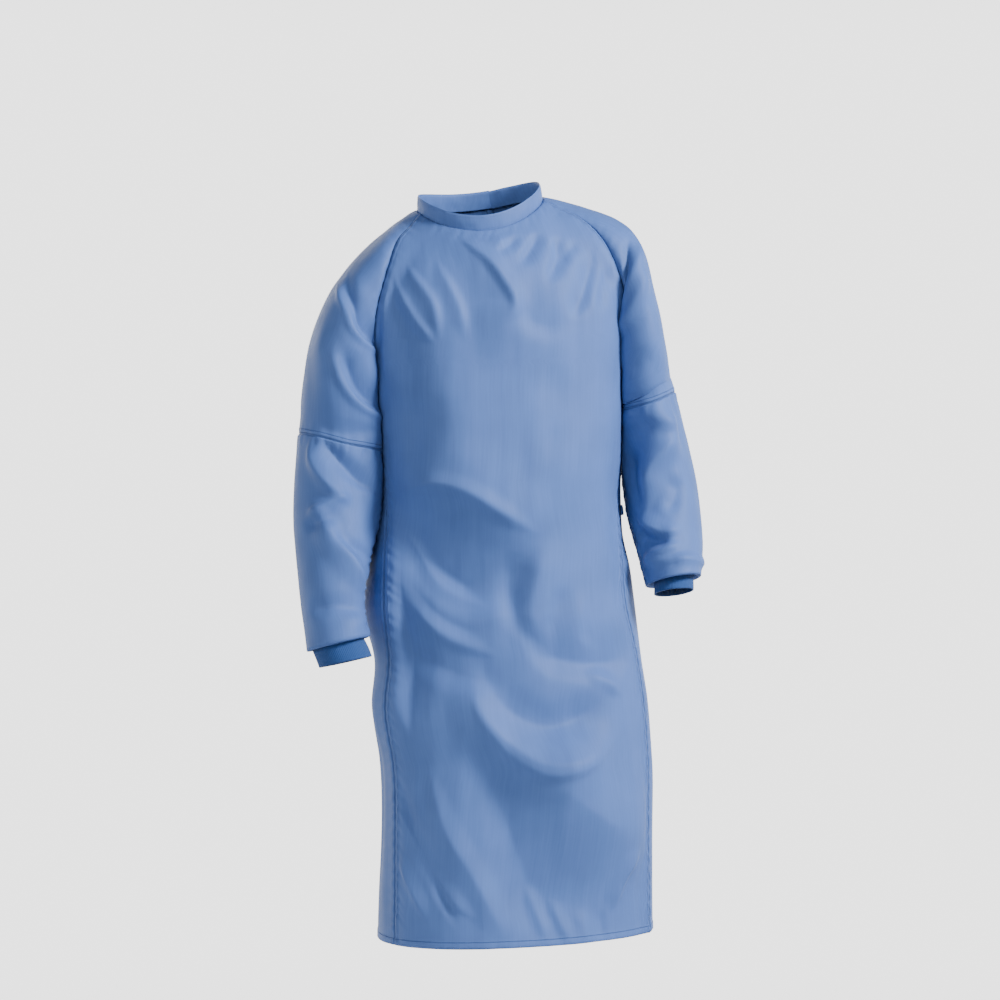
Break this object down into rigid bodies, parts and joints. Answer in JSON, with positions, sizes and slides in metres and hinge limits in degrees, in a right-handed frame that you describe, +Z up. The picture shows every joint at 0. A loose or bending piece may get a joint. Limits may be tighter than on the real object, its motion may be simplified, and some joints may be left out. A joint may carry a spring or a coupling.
{
  "type": "surgical gown",
  "caption": "Long wrap-back surgical gown in tightly woven blue cloth, raglan sleeves with an elbow seam, a stand neck band, knit cuffs and tied waist tapes, shaped as worn",
  "frame": {"origin": "middle of the neck opening, level with the seam of the neck band at the sides, where the wearer's neck and shoulders hold the gown up", "axes": "+Z up, the front of the gown faces -Y, +X is the wearer's left"},
  "size_m": [0.627, 0.3395, 1.1554],
  "materials": {
    "cloth": "tightly woven polyester, soft sheen, mid blue",
    "knit": "rib knit, matt, deeper blue",
    "tape": "folded and stitched tape of the gown's cloth",
    "snap": "pale moulded plastic snap cap"
  },
  "bodies": {
    "root": {"front_panel": "cloth", "back_left_panel": "cloth", "back_right_panel": "cloth", "neck_band": "cloth", "right_upper_sleeve": "cloth", "left_upper_sleeve": "cloth", "right_lower_sleeve": "cloth", "left_lower_sleeve": "cloth", "right_cuff": "knit", "left_cuff": "knit", "waist_tie_right": "tape", "waist_tie_left": "tape", "waist_knot": "tape", "neck_snap_right": "snap", "neck_snap_left": "snap"}
  },
  "joints": []
}
